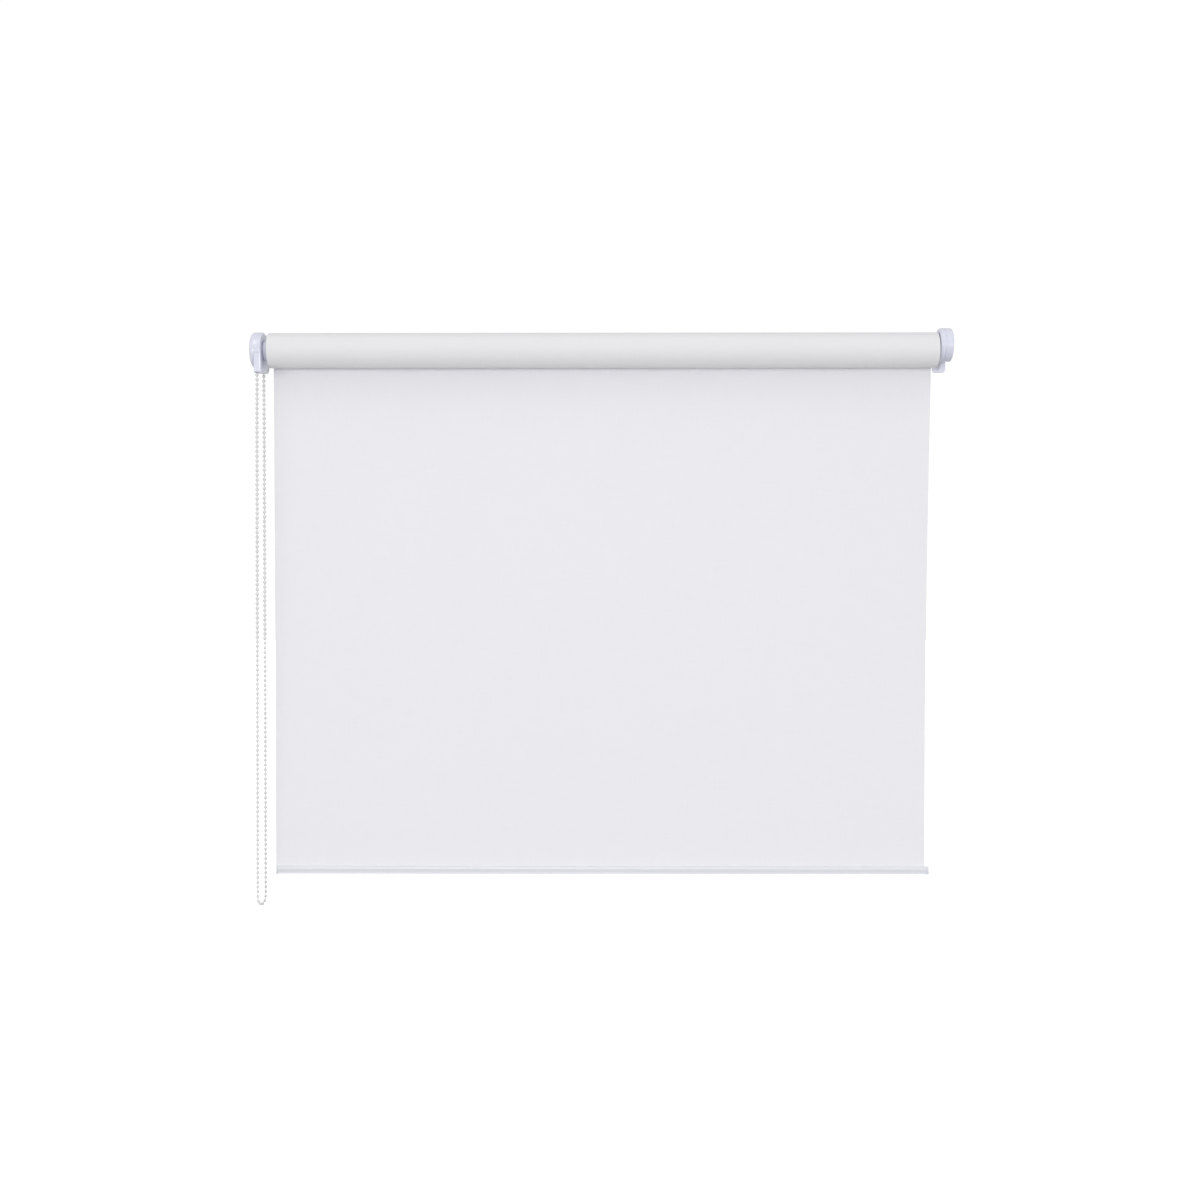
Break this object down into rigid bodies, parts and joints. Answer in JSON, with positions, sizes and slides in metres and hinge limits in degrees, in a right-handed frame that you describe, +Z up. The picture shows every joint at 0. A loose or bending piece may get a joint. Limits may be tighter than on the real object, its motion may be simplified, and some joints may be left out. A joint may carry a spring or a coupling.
{
  "type": "roller blind",
  "caption": "Chain-operated window roller blind: a cloth roll between two wall brackets, with a hanging cloth panel, a bottom rail and a beaded control loop on the left.",
  "frame": {"origin": "middle of the four wall screw holes on the wall plane, level with the roller's axis", "axes": "+X along the roller to the right as seen from the room, +Y into the wall, +Z up"},
  "size_m": [0.8874, 0.053, 0.7338],
  "materials": {
    "cloth": "closely woven white polyester with a matt coating",
    "white_plastic": "moulded, slightly cool white, half gloss",
    "grey_plastic": "moulded inner piece",
    "chain_plastic": "moulded white beads on a polyester thread",
    "white_metal": "white powder coat on folded steel",
    "rail_metal": "white powder coat on an aluminium extrusion",
    "tube_metal": "mill finish",
    "steel": "zinc plated",
    "tape": "double-sided adhesive strip"
  },
  "bodies": {
    "root": {"left_bracket": "white_metal", "clutch_hub": "white_plastic", "hub_screw": "steel", "hub_clip": "steel", "chain_cover": "white_plastic", "chain_guard": "white_plastic", "chain_wrap": "chain_plastic", "chain": "chain_plastic", "fabric_panel": "cloth", "pin_bush": "white_plastic", "right_bracket": "white_metal", "right_cover": "white_plastic"},
    "roller": {"chain_wheel": "white_plastic", "brake_spring_outer": "steel", "brake_spring_inner": "steel", "drive_sleeve": "grey_plastic", "tube": "tube_metal", "fabric_tape": "tape", "fabric_roll": "cloth", "end_plug": "grey_plastic", "spring_seat": "grey_plastic", "pin_spring": "steel"},
    "pin": {"idle_pin": "steel"},
    "rail": {"bottom_rail": "rail_metal", "hem_spline": "white_plastic", "rail_cap_left": "white_plastic", "rail_cap_right": "white_plastic"}
  },
  "joints": [
    {"name": "roller_spin", "type": "hinge", "parent": "root", "child": "roller", "pos_m": [0, -0.03, 0], "axis": [1, 0, 0], "range_deg": [0, 1591.58], "deforming": ["chain_wrap"]},
    {"name": "rail_lift", "type": "slide", "parent": "root", "child": "rail", "axis": [0, 0, 1], "range_m": [0, 0.6227], "deforming": ["fabric_panel"]},
    {"name": "idle_pin_slide", "type": "slide", "parent": "roller", "child": "pin", "axis": [1, 0, 0], "range_m": [-0.008, 0], "stiffness_N_per_m": 900, "springref_m": 0.006, "deforming": ["pin_spring"]}
  ],
  "couplings": [
    {"joint": "rail_lift", "follows": "roller_spin", "m_per_rad": 0.0224}
  ]
}
